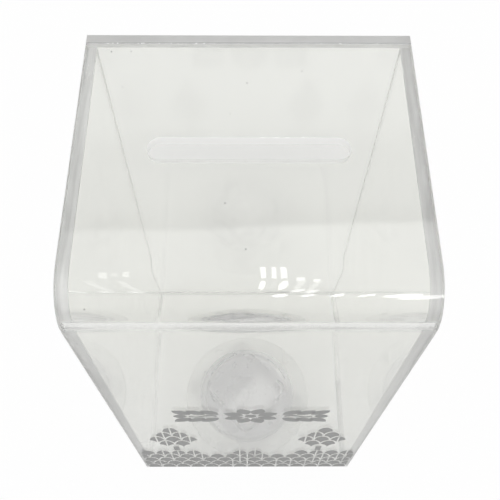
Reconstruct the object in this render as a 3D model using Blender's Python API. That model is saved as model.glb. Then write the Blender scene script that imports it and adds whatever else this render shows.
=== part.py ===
"""Clear acrylic collection box with a coin slot and a pull-out stopper in its raised base.

Metres, +Z up. The origin is at the middle of the box's footprint, on the table.
The front faces -Y. One sheet is bent once to make both the front and the top. The two
sides and the base stand inside it, and the flat back panel closes the box behind.
The stopper is moulded in soft plastic and is pulled down and out to empty the box.
"""

import math

import bmesh
import bpy
from mathutils import Vector

# Overall size of the box, outside
BOX_WIDTH = 0.080
BOX_DEPTH = 0.074
BOX_HEIGHT = 0.160

# Acrylic sheet
SHEET_THICKNESS = 0.0025
BEND_OUTER_RADIUS = 0.0105
GLUE_GAP = 0.0003

# Coin slot in the top, with round ends
SLOT_LENGTH = 0.046
SLOT_WIDTH = 0.006
SLOT_FROM_BACK = 0.0342

# Base panel and the hole that the stopper fills
BASE_LIFT = 0.004
BASE_THICKNESS = 0.0025
HOLE_DIAMETER = 0.038
HOLE_FROM_FRONT = 0.0298

# Stopper
STOPPER_CLEARANCE = 0.0003
FLANGE_DIAMETER = 0.050
FLANGE_THICKNESS = 0.0018
FLANGE_EDGE_RADIUS = 0.0006
SKIRT_WALL = 0.0016
SKIRT_RISE = 0.0015
SKIRT_TAPER = 0.0004
SKIRT_ROOT_RADIUS = 0.0010
SKIRT_LIP_RADIUS = 0.0005
POCKET_SIDE = 0.0235
POCKET_CORNER_RADIUS = 0.0035
POCKET_WALL = 0.0015
POCKET_ROOF = 0.0015
POCKET_RISE = 0.0075
POCKET_TURN = math.radians(43.5)
PLATE_LENGTH = 0.0396
PLATE_WIDTH = 0.031
PLATE_CORNER_RADIUS = 0.0035
PLATE_DEPTH = 0.0011
HOOK_REACH = 0.007
HOOK_THICKNESS = 0.0018
HOOK_SETBACK = 0.0004
CUT_OVERRUN = 0.001

# How finely round shapes are divided
BEND_STEPS = 16
SLOT_END_STEPS = 14
HOLE_STEPS = 64
CORNER_STEPS = 6
FILLET_STEPS = 3
NOSE_STEPS = 6
QUARTER_TURN = math.pi / 2

# Places that follow from the sizes
FRONT_FACE = -BOX_DEPTH / 2
BACK_FACE = BOX_DEPTH / 2
INNER_FRONT = FRONT_FACE + SHEET_THICKNESS
INNER_BACK = BACK_FACE - SHEET_THICKNESS
INNER_TOP = BOX_HEIGHT - SHEET_THICKNESS
INNER_HALF_WIDTH = BOX_WIDTH / 2 - SHEET_THICKNESS
BASE_TOP = BASE_LIFT + BASE_THICKNESS
HOLE_CENTRE = Vector((0, FRONT_FACE + HOLE_FROM_FRONT, 0))
SLOT_CENTRE = Vector((0, BACK_FACE - SLOT_FROM_BACK, 0))


def clear_scene():
    for old in list(bpy.data.objects):
        bpy.data.objects.remove(old, do_unlink=True)


def make_material(name, colour, roughness, alpha=1.0, transmission=0.0):
    material = bpy.data.materials.new(name)
    material.use_nodes = True
    shader = material.node_tree.nodes["Principled BSDF"]
    shader.inputs["Base Color"].default_value = (*colour, 1)
    shader.inputs["Roughness"].default_value = roughness
    shader.inputs["Metallic"].default_value = 0
    shader.inputs["Alpha"].default_value = alpha
    shader.inputs["Transmission Weight"].default_value = transmission
    return material


def arc_points(centre, radius, start, turn, steps):
    """Points along an arc in a plane, both ends included."""
    return [
        (centre[0] + radius * math.cos(start + turn * step / steps),
         centre[1] + radius * math.sin(start + turn * step / steps))
        for step in range(steps + 1)
    ]


def add_object(name, bm, material=None, location=(0, 0, 0)):
    bmesh.ops.recalc_face_normals(bm, faces=bm.faces)
    mesh = bpy.data.meshes.new(name)
    bm.to_mesh(mesh)
    bm.free()
    obj = bpy.data.objects.new(name, mesh)
    obj.location = location
    bpy.context.collection.objects.link(obj)
    if material:
        mesh.materials.append(material)
    return obj


def extrude_outline(outline, plane, low, high):
    """Close a flat outline and extrude it along the axis that its plane leaves free.

    plane is "YZ" for an outline of (y, z) points, or "XY" for one of (x, y) points.
    """
    bm = bmesh.new()
    if plane == "YZ":
        verts = [bm.verts.new((low, a, b)) for a, b in outline]
        travel = Vector((high - low, 0, 0))
    else:
        verts = [bm.verts.new((a, b, low)) for a, b in outline]
        travel = Vector((0, 0, high - low))
    face = bm.faces.new(verts)
    swept = bmesh.ops.extrude_face_region(bm, geom=[face])["geom"]
    moved = [part for part in swept if isinstance(part, bmesh.types.BMVert)]
    bmesh.ops.translate(bm, verts=moved, vec=travel)
    return bm


def stadium_outline(length, width, steps):
    """Outline of a slot with round ends, centred on zero."""
    radius = width / 2
    reach = length / 2 - radius
    right = arc_points((reach, 0), radius, -QUARTER_TURN, math.pi, steps)
    left = arc_points((-reach, 0), radius, QUARTER_TURN, math.pi, steps)
    return right + left


def rounded_rectangle_outline(width, length, corner_radius, steps):
    """Outline as wide as width along X and as long as length along Y, centred on zero."""
    reach_x = width / 2 - corner_radius
    reach_y = length / 2 - corner_radius
    outline = []
    for corner, (sign_x, sign_y) in enumerate(((1, 1), (-1, 1), (-1, -1), (1, -1))):
        centre = (sign_x * reach_x, sign_y * reach_y)
        outline += arc_points(centre, corner_radius, corner * QUARTER_TURN, QUARTER_TURN, steps)
    return outline


def make_cutter(name, bm, location=(0, 0, 0), turn=0.0):
    cutter = add_object(name, bm, location=location)
    cutter.rotation_euler.z = turn
    cutter.hide_render = True
    cutter.display_type = "WIRE"
    return cutter


def add_boolean(target, tool, operation):
    boolean = target.modifiers.new(f"{operation.title()} {tool.name}", "BOOLEAN")
    boolean.object = tool
    boolean.operation = operation
    boolean.solver = "EXACT"


def shade_round(obj, angle=math.radians(30)):
    obj.data.shade_smooth()
    obj.data.set_sharp_from_angle(angle=angle)


def bent_sheet_outline():
    """Side view of the bent sheet: up the front, round the bend and back along the top."""
    bend_centre = (FRONT_FACE + BEND_OUTER_RADIUS, BOX_HEIGHT - BEND_OUTER_RADIUS)
    bend_inner_radius = BEND_OUTER_RADIUS - SHEET_THICKNESS
    sheet_end = INNER_BACK - GLUE_GAP
    outer = arc_points(bend_centre, BEND_OUTER_RADIUS, math.pi, -QUARTER_TURN, BEND_STEPS)
    inner = arc_points(bend_centre, bend_inner_radius, QUARTER_TURN, QUARTER_TURN, BEND_STEPS)
    return [(FRONT_FACE, 0), *outer, (sheet_end, BOX_HEIGHT),
            (sheet_end, INNER_TOP), *inner, (INNER_FRONT, 0)]


def make_front_top_sheet(acrylic):
    """The bent sheet is as wide as the box, with the coin slot cut through its top."""
    outline = bent_sheet_outline()
    sheet = add_object("front_top_sheet",
                       extrude_outline(outline, "YZ", -BOX_WIDTH / 2, BOX_WIDTH / 2), acrylic)
    slot = stadium_outline(SLOT_LENGTH, SLOT_WIDTH, SLOT_END_STEPS)
    cutter = make_cutter("coin_slot_cutter",
                         extrude_outline(slot, "XY", INNER_TOP - CUT_OVERRUN,
                                         BOX_HEIGHT + CUT_OVERRUN),
                         location=SLOT_CENTRE)
    add_boolean(sheet, cutter, "DIFFERENCE")
    shade_round(sheet)
    return sheet


def make_back_panel(acrylic):
    """Flat sheet over the whole width and height. It covers the ends of the other sheets."""
    outline = [(INNER_BACK, 0), (BACK_FACE, 0), (BACK_FACE, BOX_HEIGHT), (INNER_BACK, BOX_HEIGHT)]
    return add_object("back_panel",
                      extrude_outline(outline, "YZ", -BOX_WIDTH / 2, BOX_WIDTH / 2), acrylic)


def make_side_panel(name, side, acrylic):
    """Flat sheet inside the bent sheet. Its front top corner follows the inside of the bend."""
    front = INNER_FRONT + GLUE_GAP
    back = INNER_BACK - GLUE_GAP
    top = INNER_TOP - GLUE_GAP
    radius = BEND_OUTER_RADIUS - SHEET_THICKNESS - GLUE_GAP
    corner = arc_points((front + radius, top - radius), radius, math.pi, -QUARTER_TURN, BEND_STEPS)
    outline = [(front, 0), *corner, (back, top), (back, 0)]
    near, far = sorted((side * INNER_HALF_WIDTH, side * BOX_WIDTH / 2))
    panel = add_object(name, extrude_outline(outline, "YZ", near, far), acrylic)
    shade_round(panel)
    return panel


def make_base_panel(acrylic):
    """Flat sheet between the four walls, raised so that the stopper clears the table."""
    half_width = INNER_HALF_WIDTH - GLUE_GAP
    front = INNER_FRONT + GLUE_GAP
    back = INNER_BACK - GLUE_GAP
    outline = [(-half_width, front), (half_width, front), (half_width, back), (-half_width, back)]
    base = add_object("base_panel", extrude_outline(outline, "XY", BASE_LIFT, BASE_TOP), acrylic)
    circle = arc_points((0, 0), HOLE_DIAMETER / 2, 0, math.tau, HOLE_STEPS)[:-1]
    cutter = make_cutter("stopper_hole_cutter",
                         extrude_outline(circle, "XY", BASE_LIFT - CUT_OVERRUN,
                                         BASE_TOP + CUT_OVERRUN),
                         location=HOLE_CENTRE)
    add_boolean(base, cutter, "DIFFERENCE")
    shade_round(base)
    return base


def stopper_profile():
    """Half section of flange and skirt as (radius, height), with zero at the flange's top.

    It runs from the middle of the underside out round the flange's edge, up the tapered
    outside of the skirt, over its lip and down inside to the middle again.
    """
    flange_radius = FLANGE_DIAMETER / 2
    edge = FLANGE_EDGE_RADIUS
    skirt_foot = HOLE_DIAMETER / 2 - STOPPER_CLEARANCE
    skirt_top = BASE_TOP - BASE_LIFT + STOPPER_CLEARANCE + SKIRT_RISE
    lip_outer = skirt_foot - SKIRT_TAPER
    lip_inner = lip_outer - SKIRT_WALL
    lip = SKIRT_LIP_RADIUS
    root = SKIRT_ROOT_RADIUS
    return [
        (0, -FLANGE_THICKNESS),
        *arc_points((flange_radius - edge, edge - FLANGE_THICKNESS), edge,
                    -QUARTER_TURN, QUARTER_TURN, FILLET_STEPS),
        *arc_points((flange_radius - edge, -edge), edge, 0, QUARTER_TURN, FILLET_STEPS),
        (skirt_foot, 0),
        *arc_points((lip_outer - lip, skirt_top - lip), lip, 0, QUARTER_TURN, FILLET_STEPS),
        *arc_points((lip_inner + lip, skirt_top - lip), lip, QUARTER_TURN, QUARTER_TURN,
                    FILLET_STEPS),
        *arc_points((lip_inner - root, root), root, 0, -QUARTER_TURN, FILLET_STEPS),
        (0, 0),
    ]


def revolve_profile(profile, steps):
    """Turn a half section of (radius, height) points about Z into a closed solid."""
    bm = bmesh.new()
    verts = [bm.verts.new((radius, 0, height)) for radius, height in profile]
    edges = [bm.edges.new(pair) for pair in zip(verts, verts[1:])]
    bmesh.ops.spin(bm, geom=verts + edges, cent=(0, 0, 0), axis=(0, 0, 1),
                   angle=math.tau, steps=steps, use_merge=True)
    weld = STOPPER_CLEARANCE / HOLE_STEPS
    bmesh.ops.remove_doubles(bm, verts=bm.verts, dist=weld)
    return bm


def rounded_prism(width, length, corner_radius, low, high):
    outline = rounded_rectangle_outline(width, length, corner_radius, CORNER_STEPS)
    return extrude_outline(outline, "XY", low, high)


def hook_outline(root, low):
    """Section of the hook as (y, z), from its root in the pocket's wall to its round nose."""
    nose_radius = HOOK_THICKNESS / 2
    nose_centre = (POCKET_SIDE / 2 - POCKET_WALL - HOOK_REACH + nose_radius, low + nose_radius)
    nose = arc_points(nose_centre, nose_radius, QUARTER_TURN, math.pi, NOSE_STEPS)
    return [(root, low + HOOK_THICKNESS), *nose, (root, low)]


def make_stopper(plastic):
    """Flange and skirt turned about Z, with a square pocket pushed up through the middle.

    The pocket is open below, through a thicker plate under the flange. A hook like a shelf
    along one wall of the pocket's mouth gives a fingertip something to pull.
    """
    seat = HOLE_CENTRE + Vector((0, 0, BASE_LIFT - STOPPER_CLEARANCE))
    stopper = add_object("stopper", revolve_profile(stopper_profile(), HOLE_STEPS), plastic,
                         location=seat)
    underside = -FLANGE_THICKNESS
    mid_flange = underside / 2
    plate_bottom = underside - PLATE_DEPTH

    def shape_with(name, bm, operation):
        tool = make_cutter(name, bm, location=seat, turn=POCKET_TURN)
        add_boolean(stopper, tool, operation)

    shape_with("pocket_boss",
               rounded_prism(POCKET_SIDE, POCKET_SIDE, POCKET_CORNER_RADIUS, mid_flange,
                             POCKET_RISE + POCKET_ROOF), "UNION")
    shape_with("grip_plate",
               rounded_prism(PLATE_WIDTH, PLATE_LENGTH, PLATE_CORNER_RADIUS, plate_bottom,
                             mid_flange), "UNION")
    mouth_side = POCKET_SIDE - 2 * POCKET_WALL
    shape_with("pocket_recess",
               rounded_prism(mouth_side, mouth_side, POCKET_CORNER_RADIUS - POCKET_WALL,
                             plate_bottom - CUT_OVERRUN, POCKET_RISE), "DIFFERENCE")
    wall_middle = (POCKET_SIDE - POCKET_WALL) / 2
    shape_with("pull_hook",
               extrude_outline(hook_outline(wall_middle, plate_bottom + HOOK_SETBACK), "YZ",
                               -wall_middle, wall_middle), "UNION")
    shade_round(stopper)
    return stopper


def build():
    clear_scene()
    acrylic = make_material("clear_acrylic", (0.93, 0.94, 0.92), 0.03, alpha=0.3,
                            transmission=1.0)
    soft_plastic = make_material("frosted_soft_plastic", (0.82, 0.83, 0.82), 0.35, alpha=0.6,
                                 transmission=0.6)
    make_front_top_sheet(acrylic)
    make_back_panel(acrylic)
    make_side_panel("left_side_panel", -1, acrylic)
    make_side_panel("right_side_panel", 1, acrylic)
    make_base_panel(acrylic)
    make_stopper(soft_plastic)


build()
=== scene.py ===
import math
import random

import bmesh
import bpy
from mathutils import Matrix, Vector


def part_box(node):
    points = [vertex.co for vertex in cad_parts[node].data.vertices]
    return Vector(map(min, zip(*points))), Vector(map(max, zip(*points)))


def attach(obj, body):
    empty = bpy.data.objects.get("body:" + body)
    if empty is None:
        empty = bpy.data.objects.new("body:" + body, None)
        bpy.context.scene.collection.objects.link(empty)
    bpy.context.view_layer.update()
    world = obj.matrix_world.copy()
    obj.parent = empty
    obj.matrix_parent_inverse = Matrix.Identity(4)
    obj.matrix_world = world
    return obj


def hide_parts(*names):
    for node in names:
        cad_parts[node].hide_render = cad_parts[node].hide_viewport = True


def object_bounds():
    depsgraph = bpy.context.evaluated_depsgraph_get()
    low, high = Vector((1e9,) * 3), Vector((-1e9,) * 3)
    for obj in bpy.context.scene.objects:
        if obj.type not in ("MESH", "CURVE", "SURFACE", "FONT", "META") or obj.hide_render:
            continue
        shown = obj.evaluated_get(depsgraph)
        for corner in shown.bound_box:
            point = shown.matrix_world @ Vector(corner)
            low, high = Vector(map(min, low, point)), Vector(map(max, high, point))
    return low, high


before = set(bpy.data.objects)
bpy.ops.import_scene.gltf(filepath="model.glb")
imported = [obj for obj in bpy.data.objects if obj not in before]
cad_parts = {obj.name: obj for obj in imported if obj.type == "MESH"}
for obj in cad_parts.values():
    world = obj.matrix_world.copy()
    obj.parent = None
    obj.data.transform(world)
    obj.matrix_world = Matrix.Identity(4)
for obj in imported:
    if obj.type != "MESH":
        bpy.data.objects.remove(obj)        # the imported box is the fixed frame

mm = 0.001
quarterTurn = math.pi / 2
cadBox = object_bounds()


# The main places, read from the frame
def readPlaces():
    low, high = cadBox
    backLow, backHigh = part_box("back_panel")
    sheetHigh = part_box("front_top_sheet")[1]
    plugLow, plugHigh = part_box("stopper")
    wall = backHigh[1] - backLow[1]
    return {
        "left": low[0], "right": high[0], "front": low[1], "back": high[1],
        "floor": low[2], "top": high[2],
        "wall": wall,
        "innerFront": low[1] + wall, "innerBack": backLow[1],
        "innerTop": high[2] - wall, "innerSide": high[0] - wall,
        "gap": backLow[1] - sheetHigh[1],
        "plugCentre": Vector(((plugLow[0] + plugHigh[0]) / 2, (plugLow[1] + plugHigh[1]) / 2, 0)),
        "plugLow": plugLow[2],
        "plugRadius": (plugHigh[0] - plugLow[0]) / 2,
    }


place = readPlaces()


# Shader maths: a socket that can be added, multiplied and so on
class Flow:
    def __init__(self, tree, socket):
        self.tree = tree
        self.socket = socket

    def maths(self, operation, other, swapped=False):
        node = self.tree.nodes.new("ShaderNodeMath")
        node.operation = operation
        pair = (other, self) if swapped else (self, other)
        for slot, value in zip(node.inputs, pair):
            if isinstance(value, Flow):
                self.tree.links.new(value.socket, slot)
            else:
                slot.default_value = value
        return Flow(self.tree, node.outputs[0])

    def __add__(self, other):
        return self.maths("ADD", other)

    def __radd__(self, other):
        return self.maths("ADD", other, True)

    def __sub__(self, other):
        return self.maths("SUBTRACT", other)

    def __rsub__(self, other):
        return self.maths("SUBTRACT", other, True)

    def __mul__(self, other):
        return self.maths("MULTIPLY", other)

    def __rmul__(self, other):
        return self.maths("MULTIPLY", other, True)

    def __truediv__(self, other):
        return self.maths("DIVIDE", other)

    def __rtruediv__(self, other):
        return self.maths("DIVIDE", other, True)

    def __gt__(self, other):
        return self.maths("GREATER_THAN", other)

    def __lt__(self, other):
        return self.maths("LESS_THAN", other)

    def most(self, other):
        return self.maths("MAXIMUM", other)


def around(noise, middle, spread):      # noise from 0 to 1 as a value that varies about the middle
    return noise * spread + (middle - spread / 2)


# The nodes of one material or world, added with add() and joined by Flow
class Finish:
    def __init__(self, owner):
        owner.use_nodes = True
        self.owner = owner
        self.tree = owner.node_tree
        self.tree.nodes.clear()

    def add(self, kind, settings=None, out=0, stops=None, **sockets):
        node = self.tree.nodes.new(kind)
        for name, value in (settings or {}).items():
            setattr(node, name, value)
        if stops:
            ramp = node.color_ramp.elements
            while len(ramp) < len(stops):
                ramp.new(0.5)
            for element, (position, grey) in zip(ramp, stops):
                element.position = position
                element.color = (grey, grey, grey, 1)
        for name, value in sockets.items():
            slot = self.slotOf(node, name)
            if isinstance(value, Flow):
                self.tree.links.new(value.socket, slot)
            else:
                slot.default_value = value
        return Flow(self.tree, node.outputs[out]) if node.outputs else None

    def slotOf(self, node, name):
        if name.startswith("in") and name[2:].isdigit():
            return node.inputs[int(name[2:])]
        wanted = name.replace("_", " ").lower()
        return next(s for s in node.inputs if s.name.lower() == wanted and s.enabled)

    def blend(self, factor, first, second):
        return self.add("ShaderNodeMixShader", in0=factor, in1=first, in2=second)

    def spot(self):             # the place on the object, in metres
        return self.add("ShaderNodeTexCoord", out="Object")

    def noise(self, spot, scale, detail):
        return self.add("ShaderNodeTexNoise", Vector=spot, Scale=scale, Detail=detail)

    def cells(self, spot, scale, out="Distance"):
        return self.add("ShaderNodeTexVoronoi", out=out, Vector=spot, Scale=scale)

    def bump(self, height, depth, strength=1.0):
        return self.add("ShaderNodeBump", Height=height, Distance=depth, Strength=strength)

    def axis(self, vector, letter):
        return self.add("ShaderNodeSeparateXYZ", out=letter, in0=vector)

    def spread(self, value, start, end, low=0.0, high=1.0):
        return self.add("ShaderNodeMapRange", in0=value, in1=start, in2=end, in3=low, in4=high)

    def ray(self, kind):        # 1 on the rays of that kind
        return self.add("ShaderNodeLightPath", out=f"Is {kind} Ray")

    def mix(self, factor, first, second, way="MIX"):
        first, second = (c if isinstance(c, Flow) else (*c, 1) for c in (first, second))
        return self.add("ShaderNodeMix", {"data_type": "RGBA", "blend_type": way}, out=2,
                        in0=factor, in6=first, in7=second)

    def clouded(self, cloud, colour, dark, light):      # darker and lighter in places
        return self.mix(cloud, [c * dark for c in colour], [min(1, c * light) for c in colour])

    # Closes the material. The light of lamps passes through it in the colour letThrough.
    def close(self, shader, letThrough=None):
        if letThrough:
            clear = self.add("ShaderNodeBsdfTransparent", Color=(*letThrough, 1))
            shader = self.blend(self.ray("Shadow"), shader, clear)
        self.add("ShaderNodeOutputMaterial", Surface=shader)
        return self.owner


def finishNamed(name):
    return Finish(bpy.data.materials.new(name))


# Mesh helpers
def arcPoints(centre, radius, start, turn, steps):
    spots = []
    for step in range(steps + 1):
        angle = start + turn * step / steps
        spots.append((centre[0] + radius * math.cos(angle), centre[1] + radius * math.sin(angle)))
    return spots


# A closed outline pushed along an axis: X takes (y, z) points, Y takes (x, z), Z takes (x, y)
def prism(outline, axis, low, high):
    bm = bmesh.new()
    at = {"X": lambda a, b: (low, a, b), "Y": lambda a, b: (a, low, b), "Z": lambda a, b: (a, b, low)}
    way = {"X": (1, 0, 0), "Y": (0, 1, 0), "Z": (0, 0, 1)}
    face = bm.faces.new([bm.verts.new(at[axis](a, b)) for a, b in outline])
    grown = bmesh.ops.extrude_face_region(bm, geom=[face])["geom"]
    moved = [g for g in grown if isinstance(g, bmesh.types.BMVert)]
    bmesh.ops.translate(bm, verts=moved, vec=Vector(way[axis]) * (high - low))
    bmesh.ops.recalc_face_normals(bm, faces=bm.faces)
    return bm


def slab(low, high):            # a flat block between two corners
    outline = [(low[0], low[1]), (high[0], low[1]), (high[0], high[1]), (low[0], high[1])]
    return prism(outline, "Z", low[2], high[2])


def bodyOf(name, bm, *materials):
    mesh = bpy.data.meshes.new(name)
    bm.to_mesh(mesh)
    bm.free()
    made = bpy.data.objects.new(name, mesh)
    bpy.context.scene.collection.objects.link(made)
    for material in materials:
        mesh.materials.append(material)
    return made


def settle(made):           # applies the modifiers, so that the faces can be sorted
    shown = made.evaluated_get(bpy.context.evaluated_depsgraph_get())
    mesh = bpy.data.meshes.new_from_object(shown)
    made.modifiers.clear()
    made.data = mesh


def carve(made, bm, operation="DIFFERENCE"):
    tool = bodyOf("tool", bm)
    cut = made.modifiers.new("cut", "BOOLEAN")
    cut.object = tool
    cut.operation = operation
    settle(made)
    bpy.data.objects.remove(tool)


def easeEdges(made, width, sharpFrom=math.radians(40), steps=2):
    bevel = made.modifiers.new("eased edges", "BEVEL")
    bevel.width = width
    bevel.segments = steps
    bevel.limit_method = "ANGLE"
    bevel.angle_limit = sharpFrom
    settle(made)


def sortFaces(made, kindOf):    # each face takes the material whose place kindOf gives
    for face in made.data.polygons:
        face.material_index = int(kindOf(face.normal, face.center))


def shadeRound(made, angle=math.radians(12)):   # flat faces stay optically flat
    made.data.shade_smooth()
    made.data.set_sharp_from_angle(angle=angle)
    return made


def ridesBox(made):             # cement and ink, which belong to the box's sheets
    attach(made, "box")


# The acrylic: clear sheet, sawn edges and the cement between the sheets
acrylic = {
    "sheetTint": (0.985, 0.99, 0.968),      # the bent sheet
    "panelTint": (0.985, 0.986, 0.965),
    "baseTint": (1.0, 1.0, 0.985),
    "lampShare": 0.97,          # of the tint, for the light of lamps
    "ior": 1.49,
    "haze": 0.012,              # roughness of the polished faces
    "backHaze": 0.07,
    "smear": 0.035,             # extra roughness where it has been handled
    "smearSize": 38.0,
    "smearFrom": 0.5,
    "smearGain": 4.0,
    "ripple": 0.02 * mm,
    "rippleSize": 60.0,
    "dustSize": 210.0,
    "dustReach": 0.055,
    "dustShare": 0.16,
    "dust": (0.5, 0.5, 0.48),
}
sawnEdge = {
    "colour": {"panel": (0.67, 0.67, 0.66), "bent": (0.86, 0.86, 0.85), "joined": (0.97, 0.97, 0.96)},
    "clearness": {"panel": 0.35, "bent": 0.6, "joined": 0.8},
    "body": {"panel": 1.0, "bent": 1.0, "joined": 0.45},
    "roughness": 0.42,
    "roughnessSpread": 0.2,
    "sawMarks": 1400.0,
    "markDepth": 0.04 * mm,
    "markStrength": 0.8,
    "clouds": 160.0,
    "dark": 0.86,
    "light": 1.12,
}
routed = {
    "slot": {"colour": (1.0, 1.0, 0.99), "clearness": 0.05, "roughness": 0.4},
    "foot": {"colour": (0.90, 0.90, 0.89), "clearness": 0.9, "roughness": 0.3},
    "roughnessSpread": 0.2,
    "grain": 1100.0,
    "grainDepth": 0.03 * mm,
    "grainStrength": 0.7,
}
# Cement greys: the joints are darker for real, but the left and right films have different greys, and
# the left one turns lighter from its front to its top. That part is painted light and shade.
cement = {
    "left": {"top": (0.80, 0.795, 0.81), "front": (0.50, 0.495, 0.505), "bubbles": 0.20,
             "body": 0.94},
    "right": {"top": (0.66, 0.655, 0.67), "front": (0.66, 0.655, 0.665), "bubbles": 0.28,
              "body": 0.94},
    "back": {"top": (0.61, 0.605, 0.615), "front": (0.61, 0.605, 0.615), "bubbles": 0.30,
             "body": 0.94},
    "inner": {"top": (0.92, 0.92, 0.91), "front": (0.92, 0.92, 0.91), "bubbles": 0.15,
              "body": 0.25},
    "shadeTurnsAt": (110 * mm, 158 * mm),        # painted shade: from the front's grey to the top's, by height
    "thinsAt": (-5 * mm, 30 * mm),          # the bubbles get fewer towards the front
    "thinnest": 0.25,           # their share at the front
    "streak": (0.45, 0.45, 0.45),
    "streaks": (900.0, 60.0, 60.0),
    "streakFrom": 0.35,
    "bubble": (1.0, 1.0, 1.0),
    "bubbleSize": 1300.0,
    "clouds": 70.0,             # the bubbles gather in clouds of this size
    "cloudFrom": 0.52,
    "roughness": 0.3,
    "ior": 1.45,
    "thickness": 0.84,          # of the gap between the sheets
}
bead = {                        # the bead of cement along the base's edges, drawn as a grey film: painted shade for the dark edge that its refraction gives
    "leg": 1.0 * mm,
    "rearLeg": 0.7 * mm,
    "steps": 8,
    "clear": 0.04 * mm,
    "colour": (0.55, 0.55, 0.55),
    "body": 0.38,               # painted shade: how much one sees of its dark edge on the base
    "edge": (0.75, 1.0, 0.1),   # painted shade: its slope from, to and how much shows where it is steep
    "clouds": 90.0,
    "patches": 32.0,
    "patchFrom": 0.62,
    "patchColour": (0.45, 0.45, 0.45),
    "patch": 0.30,
    "bubbles": 0.3,
    "bubblesFrom": 0.5,
    "bubbleBody": 0.15,
    "roughness": 0.25,
}


def clearAcrylic(name, tint, haze=acrylic["haze"]):
    m = finishNamed(name)
    spot = m.spot()
    smear = (m.noise(spot, acrylic["smearSize"], detail=4.0) - acrylic["smearFrom"]).most(0.0)
    wave = m.noise(spot, acrylic["rippleSize"], detail=1.0)
    near = m.cells(spot, acrylic["dustSize"])
    pick = m.add("ShaderNodeSeparateColor", in0=m.cells(spot, acrylic["dustSize"], "Color"))
    dust = (near < pick * acrylic["dustReach"]) * (pick > 1 - acrylic["dustShare"])
    shader = m.add("ShaderNodeBsdfPrincipled", Base_Color=m.mix(dust, tint, acrylic["dust"]),
                   Roughness=smear * acrylic["smearGain"] * acrylic["smear"] + haze,
                   IOR=acrylic["ior"], Transmission_Weight=1.0,
                   Normal=m.bump(wave, acrylic["ripple"]))
    return m.close(shader, [c * acrylic["lampShare"] for c in tint])


def sawnAcrylic(sheet):
    m = finishNamed(sheet + "Sawn")
    spot = m.spot()
    grit = m.noise(spot, sawnEdge["sawMarks"], detail=3.0)
    cloud = m.noise(spot, sawnEdge["clouds"], detail=3.0)
    shade = m.clouded(cloud, sawnEdge["colour"][sheet], sawnEdge["dark"], sawnEdge["light"])
    shader = m.add("ShaderNodeBsdfPrincipled", Base_Color=shade, IOR=acrylic["ior"],
                   Roughness=around(grit, sawnEdge["roughness"], sawnEdge["roughnessSpread"]),
                   Transmission_Weight=sawnEdge["clearness"][sheet], Alpha=sawnEdge["body"][sheet],
                   Normal=m.bump(grit, sawnEdge["markDepth"], sawnEdge["markStrength"]))
    return m.close(shader)


def jointCement(side):
    m = finishNamed(side + "Cement")
    spot = m.spot()
    own = cement[side]
    cells = m.cells(spot, cement["bubbleSize"])
    cloud = m.noise(spot, cement["clouds"], detail=4.0)
    grainWay = m.add("ShaderNodeMapping", Vector=spot, Scale=cement["streaks"])
    streak = (m.noise(grainWay, 1.0, detail=3.0) - cement["streakFrom"]).most(0.0)
    rear = m.spread(m.axis(spot, "Y"), *cement["thinsAt"], cement["thinnest"])
    bubble = (cells < rear * own["bubbles"]) * (cloud > cement["cloudFrom"])
    # painted shade: the film's grey goes from its front grey to its top grey with height
    shadedRise = m.spread(m.axis(spot, "Z"), *cement["shadeTurnsAt"])
    body = m.mix(streak, m.mix(shadedRise, own["front"], own["top"]), cement["streak"], "MULTIPLY")
    shader = m.add("ShaderNodeBsdfPrincipled", Base_Color=m.mix(bubble, body, cement["bubble"]),
                   Roughness=cement["roughness"], IOR=cement["ior"], Alpha=own["body"])
    return m.close(shader)


def beadCement():
    m = finishNamed("beadCement")
    spot = m.spot()
    cells = m.cells(spot, cement["bubbleSize"])
    cloud = m.noise(spot, bead["clouds"], detail=3.0)
    patch = (m.noise(spot, bead["patches"], detail=1.0) > bead["patchFrom"]) * cloud
    bubble = (cells < bead["bubbles"]) * (cloud > bead["bubblesFrom"])
    # painted shade: the bead's grey shows most where it lies flat, as the dark edge of a clear bead
    shadedSlope = m.add("ShaderNodeNewGeometry", out="Normal")
    edge = m.spread(m.axis(shadedSlope, "Z"), *bead["edge"])
    shader = m.add("ShaderNodeBsdfPrincipled", Roughness=bead["roughness"], IOR=cement["ior"],
                   Base_Color=m.mix(patch, bead["colour"], bead["patchColour"]),
                   Alpha=(cloud * edge * bead["body"] + bubble * bead["bubbleBody"]
                          + patch * bead["patch"]))
    return m.close(shader)


def frostedAcrylic(where):      # the slot's wall and the feet, left by the router
    m = finishNamed(where + "Frosted")
    own = routed[where]
    grit = m.noise(m.spot(), routed["grain"], detail=3.0)
    shader = m.add("ShaderNodeBsdfPrincipled", Base_Color=(*own["colour"], 1), IOR=acrylic["ior"],
                   Roughness=around(grit, own["roughness"], routed["roughnessSpread"]),
                   Transmission_Weight=own["clearness"],
                   Normal=m.bump(grit, routed["grainDepth"], routed["grainStrength"]))
    return m.close(shader)


crystal = clearAcrylic("clearSheet", acrylic["sheetTint"])
clear = clearAcrylic("clearPanel", acrylic["panelTint"])
clearBase = clearAcrylic("clearBase", acrylic["baseTint"])
clearBack = clearAcrylic("clearBack", acrylic["panelTint"], acrylic["backHaze"])
sawn, bentEdge, joined = sawnAcrylic("panel"), sawnAcrylic("bent"), sawnAcrylic("joined")
slotWall, footEdge = frostedAcrylic("slot"), frostedAcrylic("foot")
glue = {side: jointCement(side) for side in ("left", "right", "back", "inner")}
print("acrylic: clear, sawn and cement finishes made")


# The sheets
sheets = {
    "bendReach": 13 * mm,       # from the sharp corner to where the bend starts
    "bendSteps": 64,
    "bendEase": 0.22,           # share of the bend over which it tightens and opens again
    "slotLength": 46 * mm,
    "slotWidth": 6 * mm,
    "slotFromBack": 34.2 * mm,
    "slotSteps": 32,
    "easing": 0.08 * mm,
    "inkDepth": 0.03 * mm,      # room for the print inside the box's size
    "square": 0.9,              # a face lies square to an axis from this much of its normal
    # places in a sheet's list of materials, after the clear and the sawn one
    "footFinish": 2,
    "slotFinish": 3,
    "joinedFinish": 3,
}


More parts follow.
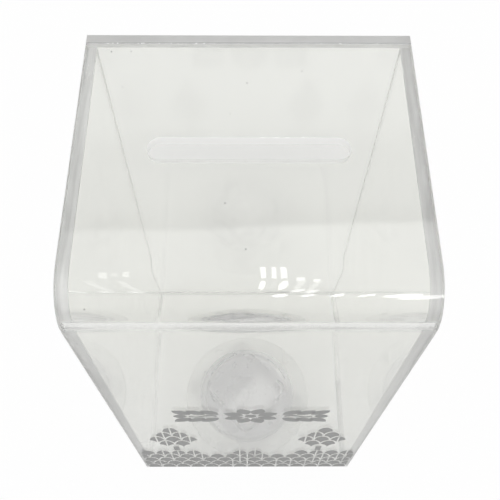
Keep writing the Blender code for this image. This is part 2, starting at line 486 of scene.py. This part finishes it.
# The bend from its side, front to top, at some depth below the outer face. A heated sheet
# bends tightest in the middle, so the curvature grows and fades along the bend.
def bendPath(depth):
    steps, ease = sheets["bendSteps"], sheets["bendEase"]
    turns, total = [0.0], 0.0
    for step in range(steps):
        along = (step + 0.5) / steps
        near = min(1.0, min(along, 1 - along) / ease)
        total += near * near * (3 - 2 * near)
        turns.append(total)
    turns = [quarterTurn * turn / total for turn in turns]
    spots = [(0.0, 0.0)]
    for before, after in zip(turns, turns[1:]):
        middle = (before + after) / 2
        y, z = spots[-1]
        spots.append((y + math.sin(middle), z + math.cos(middle)))
    scale = sheets["bendReach"] / spots[-1][0]
    y, z = place["front"] + sheets["inkDepth"], place["top"] - sheets["bendReach"]
    return [(y + spot[0] * scale + depth * math.cos(turn), z + spot[1] * scale - depth * math.sin(turn))
            for spot, turn in zip(spots, turns)]


def bentOutline():          # the bent sheet from its side
    front = place["front"] + sheets["inkDepth"]
    end = place["innerBack"] - place["gap"]
    return [(front, place["floor"]), *bendPath(0), (end, place["top"]),
            (end, place["innerTop"]), *reversed(bendPath(place["wall"])),
            (front + place["wall"], place["floor"])]


def slotOutline():
    radius = sheets["slotWidth"] / 2
    reach = sheets["slotLength"] / 2 - sheets["slotWidth"] / 2
    y = place["back"] - sheets["slotFromBack"]
    return (arcPoints((reach, y), radius, -quarterTurn, math.pi, sheets["slotSteps"])
            + arcPoints((-reach, y), radius, quarterTurn, math.pi, sheets["slotSteps"]))


def isFoot(normal, centre):     # the lower edges, which stand on the table
    return normal.z < -sheets["square"] and centre.z < place["wall"]


def finishSheet(made, node, kindOf):
    easeEdges(made, sheets["easing"])
    sortFaces(made, kindOf)
    shadeRound(made)
    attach(made, "box")
    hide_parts(node)


def makeBentSheet():
    made = bodyOf("bent_sheet", prism(bentOutline(), "X", place["left"], place["right"]),
                  crystal, bentEdge, footEdge, slotWall)
    carve(made, prism(slotOutline(), "Z", place["innerTop"] - mm, place["top"] + mm))
    end = place["innerBack"] - place["gap"]
    slotMiddle = place["back"] - sheets["slotFromBack"]

    def kindOf(normal, centre):
        side = abs(normal.x) > sheets["square"] and abs(centre.x) > place["innerSide"]
        rear = normal.y > sheets["square"] and centre.y > end - sheets["easing"]
        inSlot = (abs(normal.z) < sheets["square"] and centre.z > place["innerTop"]
                  and abs(centre.x) < sheets["slotLength"] / 2 + sheets["easing"]
                  and abs(centre.y - slotMiddle) < sheets["slotWidth"])
        if inSlot:
            return sheets["slotFinish"]
        return sheets["footFinish"] if isFoot(normal, centre) else side or rear

    finishSheet(made, "front_top_sheet", kindOf)


def makeBack():
    made = bodyOf("back_sheet", slab(*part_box("back_panel")), clearBack, sawn, footEdge)

    def kindOf(normal, centre):
        if isFoot(normal, centre):
            return sheets["footFinish"]
        return abs(normal.y) < 1 - sheets["square"]

    finishSheet(made, "back_panel", kindOf)


def makeSide(name, node):
    low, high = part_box(node)
    corner = bendPath(place["wall"] + place["gap"])
    outline = [(corner[0][0], low[2]), *corner, (high[1], high[2]), (high[1], low[2])]
    made = bodyOf(name, prism(outline, "X", low[0], high[0]), clear, bentEdge, footEdge, joined)

    def kindOf(normal, centre):
        if normal.y > sheets["square"]:
            return sheets["joinedFinish"]
        if isFoot(normal, centre):
            return sheets["footFinish"]
        return abs(normal.x) < 1 - sheets["square"]

    finishSheet(made, node, kindOf)


def makeBase():
    low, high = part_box("base_panel")
    made = bodyOf("base_sheet", slab(low, high), clearBase, joined)
    hole = arcPoints(place["plugCentre"][:2], plug["hole"] / 2, 0, math.tau, plug["steps"])[:-1]
    carve(made, prism(hole, "Z", low[2] - mm, high[2] + mm))

    def kindOf(normal, centre):
        return abs(normal.z) < 1 - sheets["square"]

    finishSheet(made, "base_panel", kindOf)


# The stopper, moulded in a milky soft plastic
plug = {
    "steps": 128,
    "hole": 38 * mm,
    "flange": 1.8 * mm,
    "flangeEdge": 0.7 * mm,
    "clearance": 0.3 * mm,
    "skirtWall": 1.6 * mm,
    "skirtRise": 4.3 * mm,      # above the flange
    "skirtTaper": 0.4 * mm,
    "skirtRoot": 1.0 * mm,
    "lip": 0.6 * mm,
    "pocket": 23.5 * mm,
    "pocketCorner": 3.5 * mm,
    "pocketWall": 1.5 * mm,
    "pocketRise": 7.5 * mm,
    "pocketRoof": 1.5 * mm,
    "turn": math.radians(43.5),
    "plateWidth": 31 * mm,      # the thicker plate under the flange
    "plateLength": 39.6 * mm,
    "plateCorner": 3.5 * mm,
    "plateDepth": 1.1 * mm,
    "hookReach": 7 * mm,        # the shelf that a fingertip pulls on
    "hookThickness": 1.8 * mm,
    "hookSetback": 0.4 * mm,
    "easing": 0.25 * mm,
    "easingSteps": 3,
    "easedFrom": math.radians(50),      # edges that turn by more than this are eased
    "roundUpTo": math.radians(45),      # and those that turn by less are shaded round
    "cornerSteps": 12,
    "filletSteps": 6,
}
softPlastic = {
    "colour": (0.86, 0.855, 0.87),
    "flange": (1.0, 1.0, 1.0),
    "roughness": 0.28,
    "ior": 1.44,
    "clearness": {"middle": 0.9, "flange": 0.97},
    "clouding": 90.0,
    "dark": 0.82,
    "light": 1.16,
    "roughnessSpread": 0.12,
    "skin": 2600.0,             # the fine texture of its smooth faces
    "skinDepth": 0.02 * mm,
    "skinStrength": 0.6,
    "grained": (0.68, 0.675, 0.69),
    "grainedRoughness": 0.4,
    "grain": 1500.0,
    "grainDepth": 0.06 * mm,
    "grainStrength": 0.9,
    "smooth": 0, "grainy": 1, "outer": 2,   # places in its list of materials
}


def milkyPlastic(where, colour):
    m = finishNamed(where + "Milky")
    spot = m.spot()
    cloud = m.noise(spot, softPlastic["clouding"], detail=5.0)
    skin = m.noise(spot, softPlastic["skin"], detail=2.0)
    rough = around(cloud, softPlastic["roughness"], softPlastic["roughnessSpread"])
    shader = m.add("ShaderNodeBsdfPrincipled", IOR=softPlastic["ior"], Roughness=rough,
                   Base_Color=m.clouded(cloud, colour, softPlastic["dark"], softPlastic["light"]),
                   Transmission_Weight=softPlastic["clearness"][where],
                   Normal=m.bump(skin, softPlastic["skinDepth"], softPlastic["skinStrength"]))
    return m.close(shader, [math.sqrt(c) for c in colour])


def grainedPlastic():
    m = finishNamed("grainedPlastic")
    grain = m.noise(m.spot(), softPlastic["grain"], detail=2.0)
    shader = m.add("ShaderNodeBsdfPrincipled", Base_Color=(*softPlastic["grained"], 1),
                   Roughness=softPlastic["grainedRoughness"], IOR=softPlastic["ior"],
                   Transmission_Weight=softPlastic["clearness"]["middle"],
                   Normal=m.bump(grain, softPlastic["grainDepth"], softPlastic["grainStrength"]))
    return m.close(shader, [math.sqrt(c) for c in softPlastic["grained"]])


def plugProfile():
    outer = place["plugRadius"]
    edge, root, lip = plug["flangeEdge"], plug["skirtRoot"], plug["lip"]
    foot = plug["hole"] / 2 - plug["clearance"]
    lipOut = foot - plug["skirtTaper"]
    lipIn = lipOut - plug["skirtWall"]
    top, steps = plug["skirtRise"], plug["filletSteps"]
    return [
        (0, -plug["flange"]),
        *arcPoints((outer - edge, edge - plug["flange"]), edge, -quarterTurn, quarterTurn, steps),
        *arcPoints((outer - edge, -edge), edge, 0, quarterTurn, steps),
        (foot, 0),
        *arcPoints((lipOut - lip, top - lip), lip, 0, quarterTurn, steps),
        *arcPoints((lipIn + lip, top - lip), lip, quarterTurn, quarterTurn, steps),
        *arcPoints((lipIn - root, root), root, 0, -quarterTurn, steps),
        (0, 0),
    ]


def turned(profile, steps):
    bm = bmesh.new()
    verts = [bm.verts.new((radius, 0, height)) for radius, height in profile]
    edges = [bm.edges.new(pair) for pair in zip(verts, verts[1:])]
    bmesh.ops.spin(bm, geom=verts + edges, cent=(0, 0, 0), axis=(0, 0, 1), angle=math.tau,
                   steps=steps, use_merge=True)
    bmesh.ops.remove_doubles(bm, verts=bm.verts, dist=0.001 * mm)
    bmesh.ops.recalc_face_normals(bm, faces=bm.faces)
    return bm


def roundedPlate(width, length, corner):
    outline = []
    for number, (signX, signY) in enumerate(((1, 1), (-1, 1), (-1, -1), (1, -1))):
        centre = (signX * (width / 2 - corner), signY * (length / 2 - corner))
        outline += arcPoints(centre, corner, number * quarterTurn, quarterTurn,
                             plug["cornerSteps"])
    return outline


def hookOutline(root, low):     # (y, z) from its root in the pocket's wall to its round nose
    radius = plug["hookThickness"] / 2
    nose = plug["pocket"] / 2 - plug["pocketWall"] - plug["hookReach"] + radius
    return [(root, low + 2 * radius), *arcPoints((nose, low + radius), radius, quarterTurn,
                                                 math.pi, plug["cornerSteps"]), (root, low)]


def turnedPrism(outline, axis, low, high):
    bm = prism(outline, axis, low, high)
    bmesh.ops.rotate(bm, verts=bm.verts, matrix=Matrix.Rotation(plug["turn"], 3, "Z"))
    return bm


def makePlug():
    made = bodyOf("moulded_stopper", turned(plugProfile(), plug["steps"]),
                  milkyPlastic("middle", softPlastic["colour"]), grainedPlastic(),
                  milkyPlastic("flange", softPlastic["flange"]))
    under = -plug["flange"]
    middle, bottom = under / 2, under - plug["plateDepth"]
    side = plug["pocket"]
    mouth = side - 2 * plug["pocketWall"]
    boss = roundedPlate(side, side, plug["pocketCorner"])
    plate = roundedPlate(plug["plateWidth"], plug["plateLength"], plug["plateCorner"])
    recess = roundedPlate(mouth, mouth, plug["pocketCorner"] - plug["pocketWall"])
    root = (side - plug["pocketWall"]) / 2
    hook = hookOutline(root, bottom + plug["hookSetback"])
    carve(made, turnedPrism(boss, "Z", middle, plug["pocketRise"] + plug["pocketRoof"]), "UNION")
    carve(made, turnedPrism(plate, "Z", bottom, middle), "UNION")
    carve(made, turnedPrism(recess, "Z", bottom - mm, plug["pocketRise"]))
    carve(made, turnedPrism(hook, "X", -root, root), "UNION")
    easeEdges(made, plug["easing"], plug["easedFrom"], plug["easingSteps"])
    shelfTop = bottom + plug["hookSetback"] + plug["hookThickness"]
    skirtInside = (plug["hole"] / 2 - plug["clearance"] - plug["skirtTaper"] - plug["skirtWall"]
                   - plug["easing"])

    def kindOf(normal, centre):         # the plate and the shelf have the mould's fine grain
        shelf = normal.z > sheets["square"] and abs(centre.z - shelfTop) < plug["easing"]
        below = normal.z < -sheets["square"] and centre.z < under - plug["easing"]
        kind = "outer" if centre.xy.length > skirtInside else "smooth"
        return softPlastic["grainy" if shelf or below else kind]

    sortFaces(made, kindOf)
    seat = place["plugLow"] + plug["plateDepth"] + plug["flange"]
    made.data.transform(Matrix.Translation(place["plugCentre"] + Vector((0, 0, seat))))
    shadeRound(made, plug["roundUpTo"])
    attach(made, "stopper")
    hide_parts("stopper")


# Cement in the joints: thin films between the sheets, with a little room left on both faces
filmSpare = place["gap"] * (1 - cement["thickness"]) / 2


def film(name, bm, side):
    ridesBox(shadeRound(bodyOf(name, bm, glue[side])))


def boxFilm(name, low, high, side="back"):
    film(name, slab(low, high), side)


def overSide(side):         # from where to where across, over the edge of a side sheet
    return sorted((side * (place["innerSide"] + filmSpare), side * (place["right"] - filmSpare)))


def sideFilm(name, side):   # between the bent sheet and the edge of a side sheet
    gap, spare = place["gap"], filmSpare
    outer, inner = bendPath(place["wall"] + spare), bendPath(place["wall"] + gap - spare)
    end = place["innerBack"] - gap - spare
    outline = [(outer[0][0], place["floor"] + spare), *outer, (end, outer[-1][1]),
               (end, inner[-1][1]), *reversed(inner), (inner[0][0], place["floor"] + spare)]
    film(name, prism(outline, "X", *overSide(side)), "left" if side < 0 else "right")


# The hollow bead of cement where the base meets a wall: corner, and the ways along both legs
def beadOutline(corner, across, up, leg=bead["leg"]):
    centre = (corner[0] + across * leg, corner[1] + up * leg)
    outline = [corner]
    for step in range(bead["steps"] + 1):
        angle = quarterTurn * step / bead["steps"]
        outline.append((centre[0] - across * leg * math.sin(angle),
                        centre[1] - up * leg * math.cos(angle)))
    return outline


def makeBeads():
    spare = bead["clear"]
    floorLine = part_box("base_panel")[1][2] + spare
    cloudy = beadCement()
    front, back = place["innerFront"] + sheets["inkDepth"] + spare, place["innerBack"] - spare
    for name, side in (("left", -1), ("right", 1)):
        wall = side * (place["innerSide"] - spare)
        shape = prism(beadOutline((wall, floorLine), -side, 1), "Y", front, back)
        ridesBox(bodyOf("cement_bead_" + name, shape, cloudy))
    reach = place["innerSide"] - bead["leg"] - 2 * spare
    shape = prism(beadOutline((back, floorLine), -1, 1, bead["rearLeg"]), "X", -reach, reach)
    ridesBox(bodyOf("cement_bead_back", shape, cloudy))


def makeFilms():
    gap, spare = place["gap"], filmSpare
    nearBack, farBack = place["innerBack"] - gap + spare, place["innerBack"] - spare
    for name, side in (("left_cement", -1), ("right_cement", 1)):
        sideFilm(name, side)
        near, far = overSide(side)
        boxFilm(name + "_back", (near, nearBack, place["floor"] + spare),
                (far, farBack, place["innerTop"] - gap), "inner")
    boxFilm("top_cement_back", (place["left"] + spare, nearBack, place["innerTop"] + spare),
            (place["right"] - spare, farBack, place["top"] - spare / 2))
    low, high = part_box("base_panel")
    bottom, top = low[2] + spare, high[2] - spare
    innerFront = place["innerFront"] + sheets["inkDepth"]
    for name, near, far in (("left", -place["innerSide"] + spare, low[0] - spare),
                            ("right", high[0] + spare, place["innerSide"] - spare)):
        boxFilm("base_cement_" + name, (near, low[1], bottom), (far, high[1], top), "inner")
    boxFilm("base_cement_front", (low[0], innerFront + spare, bottom),
            (high[0], low[1] - spare, top), "inner")
    boxFilm("base_cement_back", (low[0], high[1] + spare, bottom),
            (high[0], place["innerBack"] - spare, top), "inner")


# The print: flat grey ink on the front sheet, a spray of leaves above a band of leaf scales
ink = {
    "colour": (0.30, 0.30, 0.296),
    "roughness": 0.5,
    "mottle": 260.0,
    "dark": 0.85,
    "light": 1.15,
    "clear": 0.002 * mm,        # kept free on both sides of the ink
    "steps": 7,                 # points along a quarter of a round outline
}
band = {
    "radius": 2.8 * mm,         # half the width of a leaf scale
    "tall": 2.2,                # how much taller than wide
    "line": 0.62 * mm,          # clear line between the scales
    "vein": 0.5 * mm,
    "veined": 0.45,             # share of the scales that are split by a vein
    "foot": 0.4 * mm,
    "rows": 4,
    "hills": ((-40, -19), (-6, 6), (19, 40)),       # in mm, where a fifth row stands
    "trees": (-9, 9),           # how many half scales from the middle
    "crown": (2, 3, 2, 1),      # scales in each row of a tree's crown
    "trunk": 2.0 * mm,
    "seed": 11,
}
spray = {
    "centre": (0.8 * mm, 79 * mm),
    "petals": 8,
    "petal": (2.4 * mm, 8.6 * mm, 4.2 * mm),        # from, to, width
    "eye": 1.7 * mm,
    "leaf": (7.0 * mm, 3.9 * mm),
    "leafTurn": math.radians(42),
    "leafBulge": 0.8,           # under 1 makes the leaves fuller
    "leafRoot": 3.2,            # how many half stems a leaf starts beside the branch's middle
    "leavesAt": (10.2 * mm, 14.4 * mm, 18.6 * mm),
    "stem": 1.1 * mm,
    "reach": 23.4 * mm,
    "wave": 0.9 * mm,
    "waveSteps": 16,
}


def printInk():
    m = finishNamed("greyInk")
    mottle = m.noise(m.spot(), ink["mottle"], detail=3.0)
    shade = m.clouded(mottle, ink["colour"], ink["dark"], ink["light"])
    shader = m.add("ShaderNodeBsdfPrincipled", Base_Color=shade, Roughness=ink["roughness"])
    return m.close(shader)


def stamp(bm, outline):         # one island of ink, a closed plate as thin as the print
    face = bm.faces.new([bm.verts.new((x, place["front"] + ink["clear"], z)) for x, z in outline])
    grown = bmesh.ops.extrude_face_region(bm, geom=[face])["geom"]
    moved = [g for g in grown if isinstance(g, bmesh.types.BMVert)]
    bmesh.ops.translate(bm, verts=moved, vec=(0, sheets["inkDepth"] - 2 * ink["clear"], 0))


def mirrored(outline):
    return [(-x, z) for x, z in reversed(outline)]


# The right half of a leaf scale from its top to its tip. The top is half an ellipse, and the
# tip runs between the tops of the scales below it. The line between scales is cleared evenly.
def halfScale(inset):
    radius, steps = band["radius"], ink["steps"]
    own, other = radius - band["line"] / 2, radius + band["line"] / 2
    apart = radius * math.sqrt(2)
    foot = (own * own - other * other + apart * apart) / (2 * apart)
    shoulder = math.acos(foot / own) - quarterTurn / 2
    below = 1.5 * quarterTurn - math.acos((apart - foot) / other)
    peak = math.acos(inset / own)
    tip = math.acos((inset - radius) / other)
    return (arcPoints((0, 0), own, peak, shoulder - peak, steps)
            + arcPoints((radius, -radius), other, below, tip - below, steps))


def scaleAt(bm, x, z, veined, halves=(-1, 1)):
    inset = band["vein"] / 2 if veined else 0.0
    half = halfScale(inset)
    whole = len(halves) == 2 and not veined
    shapes = [half + mirrored(half)[1:-1]] if whole else [
        half if side > 0 else mirrored(half) for side in halves]
    for shape in shapes:
        stamp(bm, [(x + spot[0], z + spot[1] * band["tall"]) for spot in shape])


def capAt(bm, x, z, halves):    # the lowest row has no tips
    own = band["radius"] - band["line"] / 2
    start = 0 if 1 in halves else quarterTurn
    turn = math.pi if len(halves) == 2 else quarterTurn
    dome = arcPoints((0, 0), own, start, turn, 2 * ink["steps"])
    if len(halves) == 1:
        dome.append((0, 0))
    stamp(bm, [(x + spot[0], z + spot[1] * band["tall"]) for spot in dome])


def makeBand():
    bm = bmesh.new()
    draw = random.Random(band["seed"])
    radius, rise = band["radius"], band["radius"] * band["tall"]
    across = int(place["right"] / radius)               # scales in a full row
    edge = across * radius
    for row in range(band["rows"] + 1):
        z = band["foot"] + row * rise
        for column in range(across + row % 2):
            x = -edge + radius * (2 * column + 1 - row % 2)
            halves = [side for side in (-1, 1) if abs(x + side * radius) < edge + radius / 2]
            split = draw.random() < band["veined"]
            onHill = any(low * mm <= x <= high * mm for low, high in band["hills"])
            if row == 0:
                capAt(bm, x, z, halves)
            elif row < band["rows"] or onHill:
                scaleAt(bm, x, z, split, halves)
    top = band["foot"] + (band["rows"] + 1) * rise
    for number in band["trees"]:
        middle, half, foot = number * radius, band["trunk"] / 2, top + rise
        stamp(bm, [(middle - half, top), (middle + half, top), (middle + half, foot),
                   (middle - half, foot)])
        for row, count in enumerate(band["crown"]):
            for column in range(count):
                x = middle + radius * (2 * column + 1 - count)
                scaleAt(bm, x, foot + (row + 0.5) * rise, draw.random() < band["veined"])
    printed("print_band", bm)


def leafOutline(root, turn, length, width):
    half = []
    for step in range(2 * ink["steps"] + 1):
        along = step / (2 * ink["steps"])
        half.append((along * length, width / 2 * math.sin(math.pi * along) ** spray["leafBulge"]))
    shape = half + [(x, -z) for x, z in reversed(half[1:-1])]
    cos, sin = math.cos(turn), math.sin(turn)
    return [(root[0] + x * cos - z * sin, root[1] + x * sin + z * cos) for x, z in shape]


def makeSpray():
    bm = bmesh.new()
    centreX, centreZ = spray["centre"]

    def put(outline):
        stamp(bm, [(centreX + x, centreZ + z) for x, z in outline])

    put(arcPoints((0, 0), spray["eye"], 0, math.tau, 4 * ink["steps"])[:-1])
    start, end, width = spray["petal"]
    for petal in range(spray["petals"]):
        turn = math.tau * (petal + 0.5) / spray["petals"]
        root = (start * math.cos(turn), start * math.sin(turn))
        put(leafOutline(root, turn, end - start, width))
    first, stem = spray["leavesAt"][0], spray["stem"] / 2
    last, steps = spray["leavesAt"][-1], spray["waveSteps"]
    wave = []
    for step in range(steps + 1):
        along = step / steps
        wave.append((first + (last - first) * along, spray["wave"] * math.sin(math.tau * along)))
    branch = [[(x, z - stem) for x, z in wave] + [(x, z + stem) for x, z in reversed(wave)],
              leafOutline((last + stem, 0), 0, spray["reach"] - last - stem, spray["leaf"][1])]
    for x in spray["leavesAt"]:
        for side in (-1, 1):
            root = (x - stem, side * spray["leafRoot"] * stem)
            branch.append(leafOutline(root, side * spray["leafTurn"], *spray["leaf"]))
    for outline in branch:
        put(outline)
        put(mirrored(outline))
    printed("print_spray", bm)


def printed(name, bm):
    bmesh.ops.recalc_face_normals(bm, faces=bm.faces)
    ridesBox(bodyOf(name, bm, greyInk))


greyInk = printInk()
makeBentSheet()
makeBack()
makeSide("left_sheet", "left_side_panel")
makeSide("right_sheet", "right_side_panel")
makeBase()
print("sheets made")
makePlug()
print("stopper made")
makeFilms()
makeBeads()
print("cement made")
makeBand()
makeSpray()
print("print made")


# Floor, world, lamps and camera
studio = {
    "floorSize": 3.0,
    "floorColour": (0.825, 0.825, 0.825),
    "floorGlow": {"Camera": 0.97, "Transmission": 0.3, "Glossy": 0.3},  # how white these rays see it
    "bounces": 128,
    "sky": (-0.1, 0.9, 0.55, 1.0),      # from, to, and its brightness there
    "reflection": 1.5,          # of the room in the outer faces
    "echo": 1.3,                # and inside the sheets
    # the room from front to back, as the ratio of the way back to the way up
    "room": ((0.562, 1.0), (0.572, 0.0), (0.61, 0.3), (0.85, 0.7)),
    "roomTilt": 0.035,          # how much its lines lean
    "roomLeft": (-0.25, 0.2, 0.6),      # from, to and how bright it is at the left
}
lamps = {
    "key": {"place": (-0.9, -0.5, 0.9), "size": (0.6, 0.6), "power": 1.5},
    "fill": {"place": (0.8, -0.7, 0.7), "size": (0.7, 0.7), "power": 0.8},
}
ceiling = {                     # small lamps overhead, for the highlights on the bend
    "height": 900 * mm,
    "glow": 8.0,                # how bright the brightest look, where a white wall is 1
    # each lamp's centre, width and length in mm, and its share of the glow
    "panes": ((21.5, 43, 7, 318, 1), (35, 43, 6, 318, 1), (48, 43, 8, 318, 1),
              (70, -150, 11, 110, 0.9), (73, -330, 10, 320, 0.35), (78, -585, 18, 140, 0.9),
              (92, -190, 9, 100, 0.8), (95, -360, 8, 320, 0.35), (102, -600, 18, 140, 0.9),
              (-181, -40, 11, 175, 0.35), (-165, -20, 8, 120, 0.2), (-150, 0, 8, 155, 0.35),
              (-204, -430, 12, 440, 0.2), (-160, -430, 12, 440, 0.2),
              (-216, -620, 18, 90, 0.45), (-171, -640, 20, 90, 0.5)),
    "rounds": ((22, -365, 9.5, 340, 1), (37, -365, 9, 320, 0.12), (51, -365, 12, 340, 1),
               (60, -827, 25, 220, 1.3), (110, -827, 20, 220, 1.3), (160, -827, 20, 220, 1.3),
               (211, -827, 21, 220, 1.3), (278, -845, 60, 260, 1.1), (345, -980, 90, 380, 1),
               (-262, -640, 20, 160, 0.35)),
}
shot = {                        # worked out from the outline of the box in the photograph
    "place": (-0.94 * mm, -91.1 * mm, 289.9 * mm),
    "down": math.radians(62.333),
    "turn": math.radians(0.8925),
    "roll": math.radians(-0.8087),
    "focal": 704.85,            # in pixels of a picture 500 wide
    "picture": 500,
    "nearest": 10 * mm,         # what lies nearer than this isn't drawn
}


def makeFloor():
    m = finishNamed("floorWhite")
    matte = m.add("ShaderNodeBsdfDiffuse", Color=(*studio["floorColour"], 1))
    white = m.add("ShaderNodeEmission", Color=(1, 1, 1, 1), Strength=1.0)
    seen = None
    for kind, share in studio["floorGlow"].items():
        part = m.ray(kind) * share
        seen = seen.most(part) if seen else part
    material = m.close(m.blend(seen, matte, white))
    half = studio["floorSize"] / 2
    bm = bmesh.new()
    bm.faces.new([bm.verts.new((x * half, y * half, place["floor"]))
                  for x, y in ((-1, -1), (1, -1), (1, 1), (-1, 1))])
    bodyOf("floor", bm, material)


def makeWorld():
    world = bpy.data.worlds.new("studio")
    bpy.context.scene.world = world
    m = Finish(world)
    way = m.add("ShaderNodeTexCoord", out="Generated")
    across, rear, height = (m.axis(way, axis) for axis in "XYZ")
    glow = m.spread(height, *studio["sky"])
    room = m.add("ShaderNodeValToRGB", stops=studio["room"],
                 in0=(rear - across * studio["roomTilt"]) / height)
    side = m.spread(across, *studio["roomLeft"])
    seen, through = m.ray("Camera"), m.ray("Transmission")
    glossy = m.ray("Glossy") * (1 - through)
    reflected = glossy * side * studio["reflection"] + through * studio["echo"]
    strength = seen + reflected * room + (1 - seen.most(glossy).most(through)) * glow
    shader = m.add("ShaderNodeBackground", Color=(1, 1, 1, 1), Strength=strength)
    m.add("ShaderNodeOutputWorld", Surface=shader)


def areaLamp(name, shape, spot, size, power):
    data = bpy.data.lights.new(name, "AREA")
    data.shape = shape
    data.size, data.size_y = size
    data.energy = power
    made = bpy.data.objects.new(name, data)
    made.location = spot
    bpy.context.scene.collection.objects.link(made)
    return made


def makeLamps():
    aim = Vector((0, 0, place["top"] / 2))
    for name, lamp in lamps.items():
        made = areaLamp(name, "RECTANGLE", lamp["place"], lamp["size"], lamp["power"])
        made.rotation_euler = (aim - made.location).to_track_quat("-Z", "Y").to_euler()


def makeCeiling():              # the outer sheet alone shows these lamps, without echoes inside
    shown = bpy.data.collections.new("shows the ceiling")
    shown.objects.link(bpy.data.objects["bent_sheet"])
    for kind, shape, filled in (("panes", "RECTANGLE", 1), ("rounds", "ELLIPSE", math.pi / 4)):
        for x, y, width, length, share in ceiling[kind]:
            power = math.pi * ceiling["glow"] * share * width * mm * length * mm * filled
            made = areaLamp("ceiling lamp", shape, (x * mm, y * mm, ceiling["height"]),
                            (width * mm, length * mm), power)
            made.light_linking.receiver_collection = shown
            made.visible_transmission = False


def makeCamera():
    data = bpy.data.cameras.new("camera")
    data.lens = shot["focal"] * data.sensor_width / shot["picture"]
    data.clip_start = shot["nearest"]
    made = bpy.data.objects.new("camera", data)
    ahead = Vector((math.sin(shot["turn"]) * math.cos(shot["down"]),
                    math.cos(shot["turn"]) * math.cos(shot["down"]), -math.sin(shot["down"])))
    right = Vector((math.cos(shot["turn"]), -math.sin(shot["turn"]), 0))
    down = ahead.cross(right)
    rolled = right * math.cos(shot["roll"]) + down * math.sin(shot["roll"])
    below = down * math.cos(shot["roll"]) - right * math.sin(shot["roll"])
    made.matrix_world = Matrix((rolled, -below, -ahead)).transposed().to_4x4()
    made.location = shot["place"]
    bpy.context.scene.collection.objects.link(made)
    bpy.context.scene.camera = made


makeFloor()
makeWorld()
makeLamps()
makeCeiling()
makeCamera()
bpy.context.scene.view_settings.view_transform = "Standard"
for kind in ("max", "glossy", "transmission", "transparent_max"):   # light runs far in clear sheet
    setattr(bpy.context.scene.cycles, kind + "_bounces", studio["bounces"])
print("studio made")
